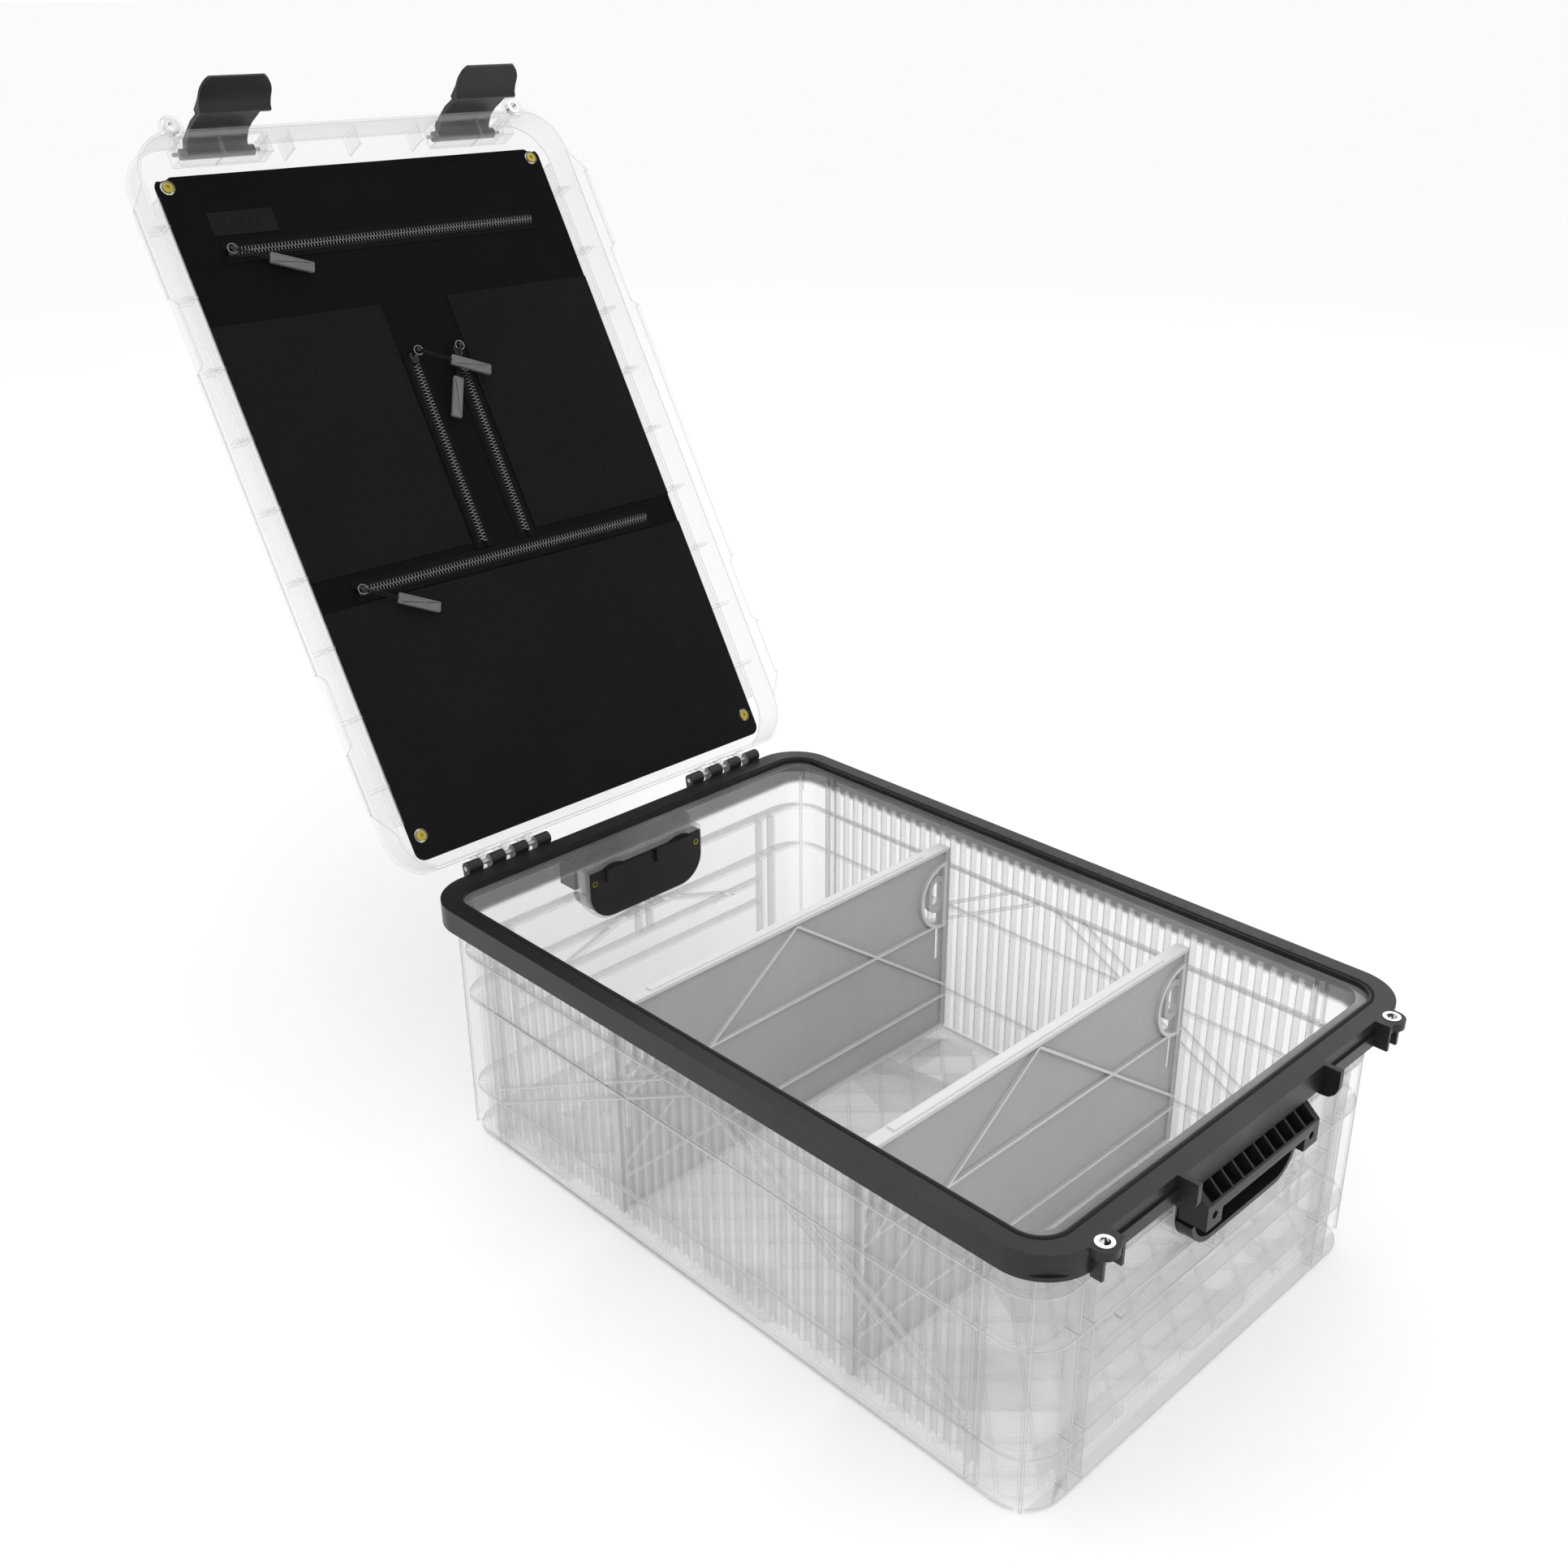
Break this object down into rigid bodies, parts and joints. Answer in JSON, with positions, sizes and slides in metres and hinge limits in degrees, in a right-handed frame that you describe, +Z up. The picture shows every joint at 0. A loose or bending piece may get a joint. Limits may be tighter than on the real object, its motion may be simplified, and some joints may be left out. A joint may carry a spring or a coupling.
{
  "type": "attached lid tote",
  "caption": "Clear stacking tote with a black rim, lift-out dividers, and a hinged clear lid with latches and a zipped fabric organiser.",
  "frame": {"origin": "centre of the base, on the ground", "axes": "+X along the length towards the latch side, +Y across the width, +Z up"},
  "size_m": [0.9432, 0.4276, 0.7727],
  "materials": {
    "clear_body": "clear, satin",
    "clear_lid": "clear, polished",
    "grey_divider": "translucent grey, fine grain",
    "black_plastic": "fine moulded grain",
    "latch_plastic": "fine moulded grain",
    "pin_steel": "ground",
    "seal_rubber": "soft",
    "eyelet_steel": "polished",
    "brass": "machined",
    "board_plastic": "smooth",
    "smooth_fabric": "fine nylon",
    "woven_fabric": "ribbed weave",
    "patch_rubber": "moulded",
    "zip_metal": "tape with metal teeth",
    "slider_metal": "blackened",
    "cord_fabric": "braided",
    "tag_rubber": "soft"
  },
  "bodies": {
    "box": {"tub": "clear_body", "rim_frame": "black_plastic", "rim_seal": "seal_rubber", "rim_eyelets": "eyelet_steel", "hinge_pin_left": "pin_steel", "hinge_pin_right": "pin_steel", "handle_cup_front": "black_plastic", "handle_grip_front": "black_plastic", "handle_screws_front": "brass", "handle_cup_rear": "black_plastic", "handle_grip_rear": "black_plastic", "handle_screws_rear": "brass"},
    "lid": {"lid_shell": "clear_lid", "lid_eyelets": "eyelet_steel", "latch_pin_left": "pin_steel", "latch_pin_right": "pin_steel", "organiser_board": "board_plastic", "organiser_cover": "smooth_fabric", "pocket_left": "woven_fabric", "pocket_right": "woven_fabric", "pocket_bottom": "woven_fabric", "label_patch": "patch_rubber", "panel_screws": "brass", "zip_top": "zip_metal", "zip_bottom": "zip_metal", "zip_left": "zip_metal", "zip_right": "zip_metal"},
    "latch_left": {"latch_left": "latch_plastic"},
    "latch_right": {"latch_right": "latch_plastic"},
    "divider_rear": {"divider_rear": "grey_divider"},
    "divider_front": {"divider_front": "grey_divider"},
    "zip_slider_top": {"slider_top": "slider_metal"},
    "zip_pull_top": {"pull_cord_top": "cord_fabric", "pull_tag_top": "tag_rubber"},
    "zip_slider_bottom": {"slider_bottom": "slider_metal"},
    "zip_pull_bottom": {"pull_cord_bottom": "cord_fabric", "pull_tag_bottom": "tag_rubber"},
    "zip_slider_left": {"slider_left": "slider_metal"},
    "zip_pull_left": {"pull_cord_left": "cord_fabric", "pull_tag_left": "tag_rubber"},
    "zip_slider_right": {"slider_right": "slider_metal"},
    "zip_pull_right": {"pull_cord_right": "cord_fabric", "pull_tag_right": "tag_rubber"}
  },
  "joints": [
    {"name": "lid_hinge", "type": "hinge", "parent": "box", "child": "lid", "pos_m": [-0.3045, 0, 0.21], "axis": [0, -1, 0], "range_deg": [-120, 0]},
    {"name": "latch_left_pivot", "type": "hinge", "parent": "lid", "child": "latch_left", "pos_m": [-0.6249, -0.1152, 0.71495], "axis": [0, -1, 0], "range_deg": [-4, 100]},
    {"name": "latch_right_pivot", "type": "hinge", "parent": "lid", "child": "latch_right", "pos_m": [-0.6249, 0.1152, 0.71495], "axis": [0, -1, 0], "range_deg": [-4, 100]},
    {"name": "divider_rear_lift", "type": "slide", "parent": "box", "child": "divider_rear", "axis": [0, 0, 1], "range_m": [0, 0.2]},
    {"name": "divider_front_lift", "type": "slide", "parent": "box", "child": "divider_front", "axis": [0, 0, 1], "range_m": [0, 0.2]},
    {"name": "zip_top_travel", "type": "slide", "parent": "lid", "child": "zip_slider_top", "axis": [0, 1, 0], "range_m": [0, 0.275]},
    {"name": "pull_top_swing", "type": "hinge", "parent": "zip_slider_top", "child": "zip_pull_top", "pos_m": [-0.56716, -0.144, 0.65014], "axis": [-0.866, 0, -0.5], "range_deg": [-30, 60]},
    {"name": "zip_bottom_travel", "type": "slide", "parent": "lid", "child": "zip_slider_bottom", "axis": [0, 1, 0], "range_m": [0, 0.278]},
    {"name": "pull_bottom_swing", "type": "hinge", "parent": "zip_slider_bottom", "child": "zip_pull_bottom", "pos_m": [-0.42691, -0.146, 0.40722], "axis": [-0.866, 0, -0.5], "range_deg": [-30, 60]},
    {"name": "zip_left_travel", "type": "slide", "parent": "lid", "child": "zip_slider_left", "axis": [0.5, 0, -0.866], "range_m": [0, 0.15]},
    {"name": "pull_left_swing", "type": "hinge", "parent": "zip_slider_left", "child": "zip_pull_left", "pos_m": [-0.51237, -0.021, 0.56284], "axis": [-0.866, 0, -0.5], "range_deg": [-40, 40]},
    {"name": "zip_right_travel", "type": "slide", "parent": "lid", "child": "zip_slider_right", "axis": [0.5, 0, -0.866], "range_m": [0, 0.15]},
    {"name": "pull_right_swing", "type": "hinge", "parent": "zip_slider_right", "child": "zip_pull_right", "pos_m": [-0.51566, 0.022, 0.56094], "axis": [-0.866, 0, -0.5], "range_deg": [-40, 40]}
  ]
}
